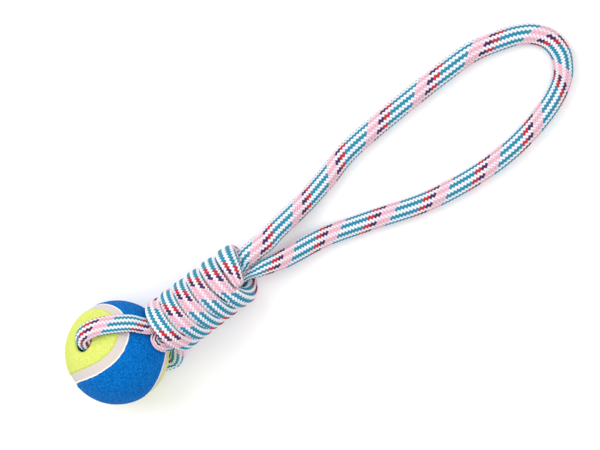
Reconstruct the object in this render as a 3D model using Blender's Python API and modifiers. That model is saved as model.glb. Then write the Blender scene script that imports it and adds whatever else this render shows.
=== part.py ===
"""Dog tug toy: a tennis ball threaded on one braided rope, which is wound into a grip and ends in a hand loop.

The toy lies on the floor, Z up, with its length along X: the ball at -X, the hand loop at +X.
The origin is on the floor, below the middle of the ball and the wound grip together.
Routes are measured from the floor below the ball's centre, and each piece is moved to the origin when it is placed.
"""

import math

import bmesh
import bpy
from mathutils import Euler, Matrix, Vector

# Scale of the tables of route points
MM = 0.001

# Ball
BALL_DIAMETER = 0.0635
FELT_THICKNESS = 0.0030
CORE_WALL = 0.0035
BORE_DIAMETER = 0.0150
SEAM_WIDTH = 0.0062
SEAM_RECESS = 0.0005
SEAM_WAVE_SHARE = 0.212
YELLOW_END = (0, 0, -1)
YELLOW_REACH_SHARE = 0.99
BALL_ROLL_DEGREES = (-44.1, 10.0, -97.2)
BORE_DIRECTION = (-0.380, 0.570, 0.728)

# Rope, free and squeezed into the winding
ROPE_DIAMETER = 0.0124
WOUND_WIDTH_MOST = 0.0118
WOUND_THICKNESS = 0.0106

# Wound grip: it stands off the ball, and its middle starts above the ball's centre and to one side of it
GRIP_DIAMETER = 0.0375
GRIP_STANDOFF = 0.0045
GRIP_RISE = 0.01175
GRIP_SIDE = -0.0052
GRIP_FIRST_TURN = -0.20
GRIP_LAST_TURN = 5.34
GRIP_FLOOR_TURN = 4.7
WOUND_PITCH = 0.0097
WOUND_START_SWEEP_SHARE = 0.42
GRIP_SIDE_DRIFT = 0.0006
GRIP_LEAN_AT_BALL = 0.0056
GRIP_LEAN_AT_MOUTH = 0.0022

# How far the winding has come at each turn, in pitches. The last turn runs out to the mouth and back.
ADVANCE_SHARES = (
    (-1.00, -0.98),
    (-0.50, -0.48),
    (0.00, 0.00),
    (0.50, 0.53),
    (1.00, 0.98),
    (1.50, 1.52),
    (2.00, 1.96),
    (2.50, 2.50),
    (3.00, 3.00),
    (3.50, 3.50),
    (4.00, 4.16),
    (4.25, 4.36),
    (4.50, 4.78),
    (4.75, 5.26),
    (5.00, 5.46),
    (5.20, 5.40),
    (5.34, 5.26),
    (6.00, 6.60),
)
END_SIZE_SHARES = ((5.10, 1.0), (5.34, 0.72))

# Core strands, pressed together along the grip's middle
CORE_FIRST_TURN = 0.8
CORE_TAIL_TURN = 1.3
CORE_WIDTH = 0.0100
CORE_THICKNESS = 0.0036
BRIDLE_END = 0.0030
LIES_FLAT_SHARE = 0.5
CORE_STEP_TURNS = 0.25

# Mouth, where the hand loop flexes
MOUTH_BEYOND_TURN = 0.0118
MOUTH_RADIUS = 0.0086
MOUTH_DOME_SHARES = (0.97, 0.88, 0.70, 0.42)

# Clearances
GAP = 0.0003
STRAND_GAP = 0.0006
WOUND_GAP = 0.0005
OVERRUN = 0.0020
WELD_DISTANCE = 0.000002

# Mesh
SHARP_DEGREES = 40
SPHERE_RINGS = 20
SPHERE_SEGMENTS = 40
SHELL_STEPS = 36
SHELL_ARC_POINTS = 8
SEAM_STEPS = 96
ROPE_SIDES = 10
POINTS_PER_TURN = 24
BRIDLE_STEP = 0.0045
LOOP_STEP = 0.0065

# Bridle over the ball to the front hole: the direction of its middle from the ball's centre, then its height over
# the felt, its width and its thickness, as shares of the rope's diameter
OVER_BALL_SHARES = (
    (0.962, -0.066, 0.266, 0.73, 0.55, 0.26),
    (0.920, -0.108, 0.376, 0.35, 0.50, 0.27),
    (0.846, -0.059, 0.529, 0.17, 0.48, 0.26),
    (0.726, 0.112, 0.679, 0.18, 0.81, 0.31),
    (0.525, 0.295, 0.798, 0.28, 0.94, 0.48),
    (0.290, 0.429, 0.856, 0.30, 0.94, 0.56),
    (0.083, 0.512, 0.855, 0.37, 0.92, 0.60),
    (-0.060, 0.544, 0.837, 0.39, 0.89, 0.61),
    (-0.161, 0.561, 0.812, 0.34, 0.84, 0.61),
    (-0.250, 0.567, 0.785, 0.22, 0.79, 0.63),
    (-0.303, 0.570, 0.764, -0.08, 0.77, 0.66),
)

# Bridle through the bore: the place of its middle as a share of the ball's radius, then its diameter as a share of
# the bore's
THROUGH_BALL_SHARES = ((0.76, 0.71), (0.30, 0.735), (-0.20, 0.735))

# Bridle from the hole underneath back to the winding, in the columns of the first table
UNDER_BALL_SHARES = (
    (0.382, -0.568, -0.729, -0.79, 0.85, 0.85),
    (0.397, -0.569, -0.721, -0.31, 0.81, 0.76),
    (0.438, -0.565, -0.699, 0.11, 0.79, 0.73),
    (0.531, -0.549, -0.646, 0.49, 0.79, 0.73),
    (0.639, -0.522, -0.565, 0.73, 0.79, 0.74),
    (0.743, -0.487, -0.459, 0.80, 0.79, 0.76),
    (0.824, -0.466, -0.322, 0.73, 0.76, 0.74),
)

# Tail: the lower core strand comes out between the ball and the first turn, and bends down beside them. It has the
# columns of the first table.
TAIL_SHARES = (
    (0.977, -0.154, 0.146, 1.00, 0.68, 0.27),
    (0.951, -0.218, 0.217, 0.76, 0.53, 0.27),
    (0.902, -0.281, 0.328, 0.48, 0.50, 0.29),
    (0.828, -0.272, 0.489, 0.28, 0.48, 0.32),
    (0.762, -0.305, 0.571, 0.21, 0.48, 0.34),
    (0.736, -0.384, 0.558, 0.23, 0.52, 0.39),
    (0.739, -0.467, 0.485, 0.34, 0.60, 0.52),
    (0.768, -0.541, 0.343, 0.46, 0.69, 0.65),
    (0.795, -0.581, 0.175, 0.60, 0.74, 0.73),
    (0.819, -0.573, 0.031, 0.71, 0.74, 0.73),
)

# Hand loop, out along its upper strand and back along the lower one: x, y and the height of its underside in mm,
# then its width and its thickness as shares of the rope's diameter
HAND_LOOP = (
    (106.5, 3.2, 13.4, 0.78, 0.98),
    (113.5, 5.6, 11.6, 0.93, 0.99),
    (122.0, 7.8, 8.8, 1.00, 1.00),
    (135.0, 10.5, 4.6, 1.00, 1.00),
    (147.2, 13.1, 1.7, 1.00, 1.00),
    (165.0, 18.2, 0.3, 1.00, 1.00),
    (184.8, 24.4, 0.0, 1.00, 1.00),
    (234.6, 30.4, 0.0, 1.00, 1.00),
    (264.0, 32.6, 0.0, 1.00, 1.00),
    (283.4, 33.2, 0.0, 1.00, 1.00),
    (302.8, 29.4, 0.0, 1.00, 1.00),
    (313.0, 26.2, 0.0, 1.00, 1.00),
    (321.1, 21.3, 0.0, 1.03, 1.00),
    (327.2, 13.2, 0.0, 1.08, 1.00),
    (328.2, 2.4, 0.0, 1.08, 1.00),
    (325.2, -5.1, 0.0, 1.03, 1.00),
    (320.6, -11.2, 0.0, 1.00, 1.00),
    (307.9, -19.4, 0.0, 1.00, 1.00),
    (279.5, -28.5, 0.0, 1.00, 1.00),
    (250.0, -31.6, 0.0, 1.00, 1.00),
    (210.4, -28.5, 0.0, 1.00, 1.00),
    (172.8, -18.4, 0.1, 1.00, 1.00),
    (143.7, -10.7, 1.0, 1.00, 1.00),
    (125.0, -8.6, 4.2, 1.00, 1.00),
    (113.5, -7.4, 7.9, 0.94, 0.99),
    (106.5, -6.2, 11.0, 0.78, 0.98),
)

BALL_RADIUS = BALL_DIAMETER / 2
CORE_RADIUS = BALL_RADIUS - FELT_THICKNESS - GAP
BORE_AXIS = Vector(BORE_DIRECTION).normalized()
BALL_ROLL = Euler([math.radians(a) for a in BALL_ROLL_DEGREES]).to_matrix()
BALL_CENTRE = Vector((0, 0, BALL_RADIUS))
GRIP_RADIUS = (GRIP_DIAMETER - WOUND_THICKNESS) / 2
GRIP_START = Vector((BALL_RADIUS + GRIP_STANDOFF, GRIP_SIDE, BALL_RADIUS + GRIP_RISE))
UP = Vector((0, 0, 1))
ACROSS = Vector((0, 1, 0))


def finish(name, colour, roughness):
    """A plain finish in the piece's own colour."""
    made = bpy.data.materials.new(name)
    made.use_nodes = True
    shader = made.node_tree.nodes["Principled BSDF"]
    shader.inputs["Base Color"].default_value = (*colour, 1.0)
    shader.inputs["Roughness"].default_value = roughness
    shader.inputs["Metallic"].default_value = 0.0
    made.diffuse_color = (*colour, 1.0)
    return made


def pivot(name, place, collection):
    """An empty that carries the pieces of one moving body."""
    empty = bpy.data.objects.new(name, None)
    empty.location = place
    empty.empty_display_size = BORE_DIAMETER
    collection.objects.link(empty)
    return empty


def add_piece(name, mesh, look, collection, parent):
    """One named object for a mesh that is in the part's own frame, with its origin at its parent."""
    work = bmesh.new()
    work.from_mesh(mesh)
    bmesh.ops.recalc_face_normals(work, faces=work.faces)
    work.to_mesh(mesh)
    work.free()
    mesh.transform(Matrix.Translation(-parent.location))
    mesh.shade_smooth()
    mesh.set_sharp_from_angle(angle=math.radians(SHARP_DEGREES))
    mesh.materials.clear()
    mesh.materials.append(look)
    piece = bpy.data.objects.new(name, mesh)
    piece.parent = parent
    collection.objects.link(piece)
    return piece


def loft(name, rings, closed=False):
    """A skin over a row of like rings. An open row has a cap at each end."""
    work = bmesh.new()
    rows = [[work.verts.new(point) for point in ring] for ring in rings]
    pairs = list(zip(rows, rows[1:]))
    if closed:
        pairs.append((rows[-1], rows[0]))
    for near, far in pairs:
        for i in range(len(near)):
            j = (i + 1) % len(near)
            work.faces.new((near[i], near[j], far[j], far[i]))
    if not closed:
        work.faces.new(rows[0][::-1])
        work.faces.new(rows[-1])
    mesh = bpy.data.meshes.new(name)
    work.to_mesh(mesh)
    work.free()
    return mesh


def ease(table, x):
    """A value eased through a short table of (place, value) pairs, and level outside it."""
    if x <= table[0][0]:
        return table[0][1]
    for (x0, y0), (x1, y1) in zip(table, table[1:]):
        if x <= x1:
            t = (x - x0) / (x1 - x0)
            return y0 + (y1 - y0) * t * t * (3 - 2 * t)
    return table[-1][1]


def smooth_route(points, step):
    """Points about one step apart on a smooth curve through the chosen ones, and how far along the list each is."""
    knots = [points[0] * 2 - points[1], *points, points[-1] * 2 - points[-2]]
    route, stations = [], []
    for number, (a, b, c, d) in enumerate(zip(knots, knots[1:], knots[2:], knots[3:])):
        ta = 0.0
        tb = ta + math.sqrt((b - a).length)
        tc = tb + math.sqrt((c - b).length)
        td = tc + math.sqrt((d - c).length)
        count = max(1, round((c - b).length / step))
        for i in range(count):
            t = tb + (tc - tb) * i / count
            p = a.lerp(b, (t - ta) / (tb - ta))
            q = b.lerp(c, (t - tb) / (tc - tb))
            r = c.lerp(d, (t - tc) / (td - tc))
            early = p.lerp(q, (t - ta) / (tc - ta))
            late = q.lerp(r, (t - tb) / (td - tb))
            route.append(early.lerp(late, (t - tb) / (tc - tb)))
            stations.append(number + i / count)
    route.append(points[-1].copy())
    stations.append(float(len(points) - 1))
    return route, stations


def pressed_ups(route, first):
    """The pressed direction along a strand: away from the ball where it lies on the felt, else carried along."""
    ups = [first]
    last = len(route) - 1
    for i in range(1, len(route)):
        before = (route[i] - route[i - 1]).normalized()
        after = (route[min(i + 1, last)] - route[min(i, last - 1)]).normalized()
        out = (route[i] - BALL_CENTRE).normalized()
        lies_flat = abs(out.dot(after)) < LIES_FLAT_SHARE
        ups.append(out if lies_flat else before.rotation_difference(after) @ ups[-1])
    return ups


def rope_rings(route, ups, widths, thicknesses, alongs=None):
    """Oval rope sections square to a route: a width across, and a thickness in the direction that is pressed."""
    rings = []
    last = len(route) - 1
    for i, middle in enumerate(route):
        along = alongs[i] if alongs else (route[min(i + 1, last)] - route[max(i - 1, 0)]).normalized()
        side = along.cross(ups[i]).normalized()
        up = side.cross(along)
        ring = []
        for k in range(ROPE_SIDES):
            angle = 2 * math.pi * (k + 0.5) / ROPE_SIDES
            across, above = widths[i] / 2 * math.cos(angle), thicknesses[i] / 2 * math.sin(angle)
            ring.append(middle + side * across + up * above)
        rings.append(ring)
    return rings


def route_length(route):
    """The length along a route."""
    return sum((b - a).length for a, b in zip(route, route[1:]))


def advance(turn):
    """How far along X the winding has come at a turn, on a smooth curve through the table."""
    last = len(ADVANCE_SHARES) - 2
    i = min(max(sum(1 for place, _ in ADVANCE_SHARES if place <= turn) - 1, 1), last - 1)
    (t0, x0), (t1, x1), (t2, x2), (t3, x3) = ADVANCE_SHARES[i - 1:i + 3]
    span = t2 - t1
    t = (turn - t1) / span
    leave, arrive = (x2 - x0) / (t2 - t0) * span, (x3 - x1) / (t3 - t1) * span
    cubic = (2 * x1 - 2 * x2 + leave + arrive) * t + (3 * x2 - 3 * x1 - 2 * leave - arrive)
    return WOUND_PITCH * ((cubic * t + leave) * t + x1)


def grip_middle(turn):
    """The middle of the winding at a turn. It sinks from the ball's shoulder until the grip lies on the floor."""
    sink = (GRIP_START.z - GRIP_DIAMETER / 2) / GRIP_FLOOR_TURN
    height = max(GRIP_START.z - sink * turn, GRIP_DIAMETER / 2)
    return Vector((GRIP_START.x + advance(turn), GRIP_START.y + GRIP_SIDE_DRIFT * turn, height))


def grip_outward(turn):
    """The direction from the grip's middle to the winding: turn 0 is at +Y, and a quarter turn is on top."""
    return Vector((0, math.cos(2 * math.pi * turn), math.sin(2 * math.pi * turn)))


def grip_point(turn):
    """The winding's own middle. Each turn leans toward the ball at the top."""
    share = turn / GRIP_LAST_TURN
    lean = GRIP_LEAN_AT_BALL + (GRIP_LEAN_AT_MOUTH - GRIP_LEAN_AT_BALL) * share
    outward = grip_outward(turn)
    return grip_middle(turn) + outward * GRIP_RADIUS - Vector((lean * outward.z, 0, 0))


def mouth_middle():
    """The point at the grip's mouth that the hand loop flexes about."""
    middle = grip_middle(GRIP_LAST_TURN)
    return Vector((middle.x + MOUTH_BEYOND_TURN, middle.y, middle.z))


def room(turn):
    """The width that a turn has between its neighbours."""
    before = grip_point(turn).x - grip_point(turn - 1).x
    after = grip_point(turn + 1).x - grip_point(turn).x if turn + 1 < GRIP_LAST_TURN else before
    if turn - 1 < GRIP_FIRST_TURN:
        before = after
    return min(before, after)


def winding_rings():
    """The wound grip's sections, its straight start included, and its route."""
    count = round((GRIP_LAST_TURN - GRIP_FIRST_TURN) * POINTS_PER_TURN)
    turns = [GRIP_FIRST_TURN + (GRIP_LAST_TURN - GRIP_FIRST_TURN) * i / count for i in range(count + 1)]
    route = [grip_point(t) for t in turns]
    ups = [grip_outward(t) for t in turns]
    sizes = [ease(END_SIZE_SHARES, t) for t in turns]
    slants = [(route[min(i + 1, count)] - route[max(i - 1, 0)]).normalized().x for i in range(count + 1)]
    rooms = [room(t) * math.sqrt(1 - slant * slant) - WOUND_GAP for t, slant in zip(turns, slants)]
    widths = [min(w, WOUND_WIDTH_MOST) * size for w, size in zip(rooms, sizes)]
    sweep = Vector((WOUND_START_SWEEP_SHARE, 0, 0))
    start = ((route[0] - route[1]).normalized() - sweep).normalized() * widths[0]
    route = [route[0] + start, route[0] + start / 2, *route]
    ups = [ups[0], ups[0], *ups]
    widths = [widths[0], widths[0], *widths]
    thicknesses = [WOUND_THICKNESS * size for size in (sizes[0], sizes[0], *sizes)]
    return rope_rings(route, ups, widths, thicknesses), route


def least_gap(rings):
    """The least gap between points of neighbouring turns."""
    return min(
        (p - q).length
        for i in range(len(rings))
        for j in range(i + POINTS_PER_TURN * 2 // 3, min(i + POINTS_PER_TURN * 3 // 2, len(rings)))
        for p in rings[i]
        for q in rings[j]
    )


def ball_rows(table):
    """Middles, widths and thicknesses of a strand that is tied to the ball."""
    return [
        (
            BALL_CENTRE + Vector(row[:3]).normalized() * (BALL_RADIUS + ROPE_DIAMETER * row[3]),
            ROPE_DIAMETER * row[4],
            ROPE_DIAMETER * row[5],
        )
        for row in table
    ]


def strand_through(rows, step):
    """A smooth route through rows of middle, width and thickness, with its widths and thicknesses."""
    route, stations = smooth_route([row[0] for row in rows], step)
    widths = [ease([(i, row[1]) for i, row in enumerate(rows)], at) for at in stations]
    thicknesses = [ease([(i, row[2]) for i, row in enumerate(rows)], at) for at in stations]
    return route, widths, thicknesses


def core_route(first_turn, side):
    """One core strand from a turn of the winding to the mouth, pressed flat over or under its twin."""
    end = mouth_middle() - Vector((MOUTH_RADIUS + GAP, 0, 0))
    turn, middles = first_turn, []
    while grip_middle(turn).x < end.x - WOUND_PITCH / 2:
        middles.append(grip_middle(turn))
        turn += CORE_STEP_TURNS
    middles += [end - Vector((WOUND_PITCH / 4, 0, 0)), end]
    last = len(middles) - 1
    route = []
    for i, middle in enumerate(middles):
        along = (middles[min(i + 1, last)] - middles[max(i - 1, 0)]).normalized()
        square = (UP - along * UP.dot(along)).normalized()
        route.append(middle + square * side * (STRAND_GAP + CORE_THICKNESS) / 2)
    return route


def upper_core_rings():
    """The core strand that comes from the bridle, and its route."""
    route = core_route(CORE_FIRST_TURN, 1)
    count = len(route)
    return rope_rings(route, [UP] * count, [CORE_WIDTH] * count, [CORE_THICKNESS] * count), route


def lower_core_rings():
    """The core strand that starts with the tail, and its route."""
    route = core_route(CORE_TAIL_TURN, -1)
    count = len(route)
    tail, widths, thicknesses = strand_through(
        [(route[0], CORE_WIDTH, CORE_THICKNESS), *ball_rows(TAIL_SHARES)], BRIDLE_STEP
    )
    ups = pressed_ups(tail, UP)[:0:-1] + [UP] * count
    widths = widths[:0:-1] + [CORE_WIDTH] * count
    thicknesses = thicknesses[:0:-1] + [CORE_THICKNESS] * count
    route = tail[:0:-1] + route
    return rope_rings(route, ups, widths, thicknesses), route


def bridle_rings(winding_route, core_start, core_ahead):
    """The stretch through the ball, from the upper core strand, over the ball and back to the winding's start."""
    from_core = (core_start - core_ahead).normalized()
    to_winding = (winding_route[1] - winding_route[0]).normalized()
    first = core_start + from_core * GAP
    last = winding_route[0] - to_winding * GAP
    under = ball_rows(UNDER_BALL_SHARES)
    rows = [
        (first, CORE_WIDTH, CORE_THICKNESS),
        (first + from_core * BRIDLE_END, CORE_WIDTH, CORE_THICKNESS),
        *ball_rows(OVER_BALL_SHARES),
        *(
            (BALL_CENTRE + BORE_AXIS * BALL_RADIUS * at, BORE_DIAMETER * share, BORE_DIAMETER * share)
            for at, share in THROUGH_BALL_SHARES
        ),
        *under,
        (last - to_winding * BRIDLE_END, *under[-1][1:]),
        (last, *under[-1][1:]),
    ]
    route, widths, thicknesses = strand_through(rows, BRIDLE_STEP)
    return rope_rings(route, pressed_ups(route, UP), widths, thicknesses), route


def mouth_end(side):
    """One end of the hand loop, outermost section first. The two ends share a dome that turns in the mouth."""
    made = []
    for share in (*MOUTH_DOME_SHARES, 0.0):
        half = MOUTH_RADIUS * math.sqrt(1 - share * share)
        width = half - STRAND_GAP / 2
        middle = mouth_middle() - Vector((share * MOUTH_RADIUS, 0, 0)) + ACROSS * side * (half - width / 2)
        made.append((middle, width, 2 * half))
    return made


def hand_loop_rings():
    """The hand loop: two pressed ends in the mouth, and the free loop between them."""
    out, back = mouth_end(1), mouth_end(-1)[::-1]
    chosen = []
    for x, y, underside, width_share, thickness_share in HAND_LOOP:
        thickness = ROPE_DIAMETER * thickness_share
        middle = Vector((x, y, underside)) * MM + UP * thickness / 2
        chosen.append((middle, ROPE_DIAMETER * width_share, thickness))
    rows = [out[-1], *chosen, back[0]]
    free, widths, thicknesses = strand_through(rows, LOOP_STEP)
    last = len(free) - 1
    alongs = [(free[min(i + 1, last)] - free[max(i - 1, 0)]).normalized() for i in range(last + 1)]
    ahead = Vector((1, 0, 0))
    alongs[0], alongs[-1] = ahead, -ahead
    route = [row[0] for row in out[:-1]] + free + [row[0] for row in back[1:]]
    widths = [row[1] for row in out[:-1]] + widths + [row[1] for row in back[1:]]
    thicknesses = [row[2] for row in out[:-1]] + thicknesses + [row[2] for row in back[1:]]
    alongs = [ahead] * (len(out) - 1) + alongs + [-ahead] * (len(back) - 1)
    return rope_rings(route, [UP] * len(route), widths, thicknesses, alongs), free


def make_rope(collection, parents, look):
    """Every stretch of the one rope."""
    winding, winding_route = winding_rings()
    upper, upper_route = upper_core_rings()
    lower, lower_route = lower_core_rings()
    bridle, bridle_route = bridle_rings(winding_route, upper_route[0], upper_route[1])
    loop, loop_route = hand_loop_rings()
    print(f"winding: least gap to itself {least_gap(winding) / MM:.2f} mm")
    rings = {
        "rope_winding": (winding, winding_route, "grip"),
        "rope_core_upper": (upper, upper_route, "grip"),
        "rope_core_lower": (lower, lower_route, "grip"),
        "rope_ball_bridle": (bridle, bridle_route, "grip"),
        "rope_hand_loop": (loop, loop_route, "hand_loop"),
    }
    for name, (sections, route, body) in rings.items():
        print(f"{name}: {route_length(route) / MM:.0f} mm long")
        moved = [[point + parents["origin"] for point in ring] for ring in sections]
        add_piece(name, loft(name, moved), look, collection, parents[body])


def seam_direction(angle):
    """A point of the seam's middle on a ball of radius 1."""
    small = SEAM_WAVE_SHARE
    large = 1 - small
    x = large * math.cos(angle) + small * math.cos(3 * angle)
    y = large * math.sin(angle) - small * math.sin(3 * angle)
    z = 2 * math.sqrt(large * small) * math.sin(2 * angle)
    return BALL_ROLL @ Vector((x, y, z)).normalized()


def seam_rings(inner, outer, width, centre):
    """Sections of a band that follows the seam, square to the ball."""
    rings = []
    half = width / 2 / BALL_RADIUS
    for i in range(SEAM_STEPS):
        angle = 2 * math.pi * i / SEAM_STEPS
        step = math.pi / SEAM_STEPS
        out = seam_direction(angle)
        along = (seam_direction(angle + step) - seam_direction(angle - step)).normalized()
        side = along.cross(out).normalized()
        edges = [(out * math.cos(turn) + side * math.sin(turn)).normalized() for turn in (-half, 0, half)]
        rings.append([centre + e * outer for e in edges] + [centre + e * inner for e in edges[::-1]])
    return rings


def sphere_mesh(name, radius, centre):
    """A sphere whose poles lie on the bore."""
    work = bmesh.new()
    turn = UP.rotation_difference(BORE_AXIS).to_matrix().to_4x4()
    bmesh.ops.create_uvsphere(
        work,
        u_segments=SPHERE_SEGMENTS,
        v_segments=SPHERE_RINGS,
        radius=radius,
        matrix=Matrix.Translation(centre) @ turn,
    )
    mesh = bpy.data.meshes.new(name)
    work.to_mesh(mesh)
    work.free()
    return mesh


def add_cutter(name, mesh, cutters):
    """A shape that only cuts."""
    cutter = bpy.data.objects.new(name, mesh)
    cutter.hide_render = True
    cutter.display_type = "WIRE"
    cutters.objects.link(cutter)
    return cutter


def cut(piece, cutter):
    """Take a cutter away from a piece."""
    modifier = piece.modifiers.new(cutter.name, "BOOLEAN")
    modifier.operation = "DIFFERENCE"
    modifier.solver = "EXACT"
    modifier.object = cutter


def bore_mesh(centre):
    """The bore, right through the ball."""
    work = bmesh.new()
    between_meridians = Matrix.Rotation(math.pi / SPHERE_SEGMENTS, 4, UP)
    turn = UP.rotation_difference(BORE_AXIS).to_matrix().to_4x4() @ between_meridians
    bmesh.ops.create_cone(
        work,
        cap_ends=True,
        segments=SPHERE_SEGMENTS,
        radius1=BORE_DIAMETER / 2,
        radius2=BORE_DIAMETER / 2,
        depth=BALL_DIAMETER + 2 * OVERRUN,
        matrix=Matrix.Translation(centre) @ turn,
    )
    mesh = bpy.data.meshes.new("bore")
    work.to_mesh(mesh)
    work.free()
    return mesh


def make_core_half(name, end, centre, collection, parent, look):
    """One moulded rubber half, turned about the bore, with the bore's hole at its pole."""
    inner = CORE_RADIUS - CORE_WALL
    hole = BORE_DIAMETER / 2
    joint = GAP / 2
    outline = []
    for radius, order in ((CORE_RADIUS, 1), (inner, -1)):
        low = math.asin(joint / radius)
        high = math.acos(hole / radius)
        angles = [high + (low - high) * i / SHELL_ARC_POINTS for i in range(SHELL_ARC_POINTS + 1)]
        outline += [(radius * math.cos(a), radius * math.sin(a)) for a in angles[::order]]
    work = bmesh.new()
    ring = [work.verts.new((x, 0, z)) for x, z in outline]
    for near, far in zip(ring, ring[1:] + ring[:1]):
        work.edges.new((near, far))
    mesh = bpy.data.meshes.new(name)
    work.to_mesh(mesh)
    work.free()
    half = bpy.data.objects.new(name, mesh)
    collection.objects.link(half)
    screw = half.modifiers.new("turned", "SCREW")
    screw.steps = SHELL_STEPS
    screw.render_steps = SHELL_STEPS
    screw.use_merge_vertices = True
    screw.merge_threshold = WELD_DISTANCE
    bpy.context.view_layer.update()
    made = bpy.data.meshes.new_from_object(half.evaluated_get(bpy.context.evaluated_depsgraph_get()))
    bpy.data.objects.remove(half, do_unlink=True)
    made.transform(Matrix.Translation(centre) @ UP.rotation_difference(BORE_AXIS * end).to_matrix().to_4x4())
    add_piece(name, made, look, collection, parent)


def make_felt(names, looks, centre, collection, cutters, parent):
    """The two felt panels: one shell, parted along the seam and pierced by the bore."""
    felt = bpy.data.objects.new("felt", sphere_mesh("felt", BALL_RADIUS, centre))
    collection.objects.link(felt)
    inside = add_cutter("felt_inside", sphere_mesh("felt_inside", BALL_RADIUS - FELT_THICKNESS, centre), cutters)
    bore = add_cutter("bore", bore_mesh(centre), cutters)
    channel_rings = seam_rings(
        BALL_RADIUS - FELT_THICKNESS - OVERRUN, BALL_RADIUS + OVERRUN, SEAM_WIDTH + 2 * GAP, centre
    )
    channel_mesh = loft("seam_channel", channel_rings, closed=True)
    channel = add_cutter("seam_channel", channel_mesh, cutters)
    for cutter in (inside, bore, channel):
        work = bmesh.new()
        work.from_mesh(cutter.data)
        bmesh.ops.recalc_face_normals(work, faces=work.faces)
        work.to_mesh(cutter.data)
        work.free()
        cut(felt, cutter)
    bpy.context.view_layer.update()
    whole = bpy.data.meshes.new_from_object(felt.evaluated_get(bpy.context.evaluated_depsgraph_get()))
    bpy.data.objects.remove(felt, do_unlink=True)
    middle_of_yellow = BALL_ROLL @ Vector(YELLOW_END)
    for name, look, sign in zip(names, looks, (1, -1)):
        work = bmesh.new()
        work.from_mesh(whole)
        left = set(work.verts)
        while left:
            island, edge = set(), [left.pop()]
            while edge:
                vert = edge.pop()
                island.add(vert)
                near = [e.other_vert(vert) for e in vert.link_edges]
                edge += [v for v in near if v in left]
                left.difference_update(near)
            nearest = max((v.co - centre).normalized().dot(middle_of_yellow) for v in island)
            facing = 1 if nearest > YELLOW_REACH_SHARE else -1
            if facing != sign:
                bmesh.ops.delete(work, geom=list(island), context="VERTS")
        mesh = bpy.data.meshes.new(name)
        work.to_mesh(mesh)
        work.free()
        add_piece(name, mesh, look, collection, parent)


def main():
    for old in list(bpy.data.objects):
        bpy.data.objects.remove(old, do_unlink=True)
    toy = bpy.data.collections.new("dog_tug_toy")
    cutters = bpy.data.collections.new("cutters")
    for collection in (toy, cutters):
        bpy.context.scene.collection.children.link(collection)

    reach = max(point.x for ring in winding_rings()[0] for point in ring)
    origin = Vector(((BALL_RADIUS - reach) / 2, 0, 0))
    centre = BALL_CENTRE + origin
    parents = {
        "origin": origin,
        "ball": pivot("ball_spin_axis", centre, toy),
        "grip": pivot("grip_start", grip_middle(0) + origin, toy),
        "hand_loop": pivot("hand_loop_axis", mouth_middle() + origin, toy),
    }

    rope = finish("braided_rope", (0.74, 0.72, 0.78), 0.9)
    rubber = finish("black_rubber", (0.03, 0.03, 0.03), 0.7)
    yellow = finish("yellow_felt", (0.75, 0.85, 0.15), 1.0)
    blue = finish("blue_felt", (0.0, 0.13, 0.55), 1.0)
    cream = finish("cream_seam_rubber", (0.83, 0.75, 0.66), 0.6)

    make_rope(toy, parents, rope)
    make_core_half("ball_core_front", 1, centre, toy, parents["ball"], rubber)
    make_core_half("ball_core_back", -1, centre, toy, parents["ball"], rubber)
    make_felt(("ball_felt_yellow", "ball_felt_blue"), (yellow, blue), centre, toy, cutters, parents["ball"])
    seam = seam_rings(CORE_RADIUS + GAP, BALL_RADIUS - SEAM_RECESS, SEAM_WIDTH, centre)
    add_piece("ball_seam", loft("ball_seam", seam, closed=True), cream, toy, parents["ball"])
    print(f"ball centre {tuple(round(v, 5) for v in centre)}")
    print(f"loop axis {tuple(round(v, 5) for v in mouth_middle() + origin)}")


main()
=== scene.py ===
import math

import bpy
import numpy as np
from mathutils import Euler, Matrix, Vector, kdtree, noise


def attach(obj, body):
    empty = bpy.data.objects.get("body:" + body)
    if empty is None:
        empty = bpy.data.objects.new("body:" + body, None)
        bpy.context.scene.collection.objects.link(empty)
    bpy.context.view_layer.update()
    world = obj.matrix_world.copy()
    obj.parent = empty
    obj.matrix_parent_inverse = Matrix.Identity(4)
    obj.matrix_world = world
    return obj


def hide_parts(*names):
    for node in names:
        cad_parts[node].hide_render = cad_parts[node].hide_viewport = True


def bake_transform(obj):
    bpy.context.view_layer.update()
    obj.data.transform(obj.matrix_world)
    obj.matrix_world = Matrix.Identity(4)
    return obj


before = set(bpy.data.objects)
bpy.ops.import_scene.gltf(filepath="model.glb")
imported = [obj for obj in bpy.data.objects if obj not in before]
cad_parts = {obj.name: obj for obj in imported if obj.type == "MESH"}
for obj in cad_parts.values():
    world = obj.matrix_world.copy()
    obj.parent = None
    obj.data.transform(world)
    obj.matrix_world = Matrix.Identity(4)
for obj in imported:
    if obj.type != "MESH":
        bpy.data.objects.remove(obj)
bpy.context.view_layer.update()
scene = bpy.context.scene


# Camera and light
# The toy lies on white paper and is seen from straight above, turned to point up and to the right.
# Two wide, soft lights hang above it and to its upper left, as for a product picture.

CAMERA_TURN_DEG = -33.6
CAMERA_HEIGHT = 1.5
PICTURE_WIDTH = 0.3648
PICTURE_MIDDLE = Vector((0.10332, 0.0030, 0.03175))
STUDIO_BRIGHTNESS = 0.72
SOFT_LIGHTS = (
    ("soft_light_left", (-0.35, 0.75, 1.10), 1.0, 8.5),
    ("soft_light_top", (0.25, -0.10, 1.30), 1.2, 6.0),
)
LIGHTS_AIM = Vector((0.1, 0, 0))
PAPER_REACH = 3.0

camera = bpy.data.objects.new("camera", bpy.data.cameras.new("camera"))
camera.location = PICTURE_MIDDLE + Vector((0, 0, CAMERA_HEIGHT))
camera.rotation_euler = (0, 0, math.radians(CAMERA_TURN_DEG))
camera.data.lens = camera.data.sensor_width * CAMERA_HEIGHT / PICTURE_WIDTH
scene.collection.objects.link(camera)
scene.camera = camera


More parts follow.
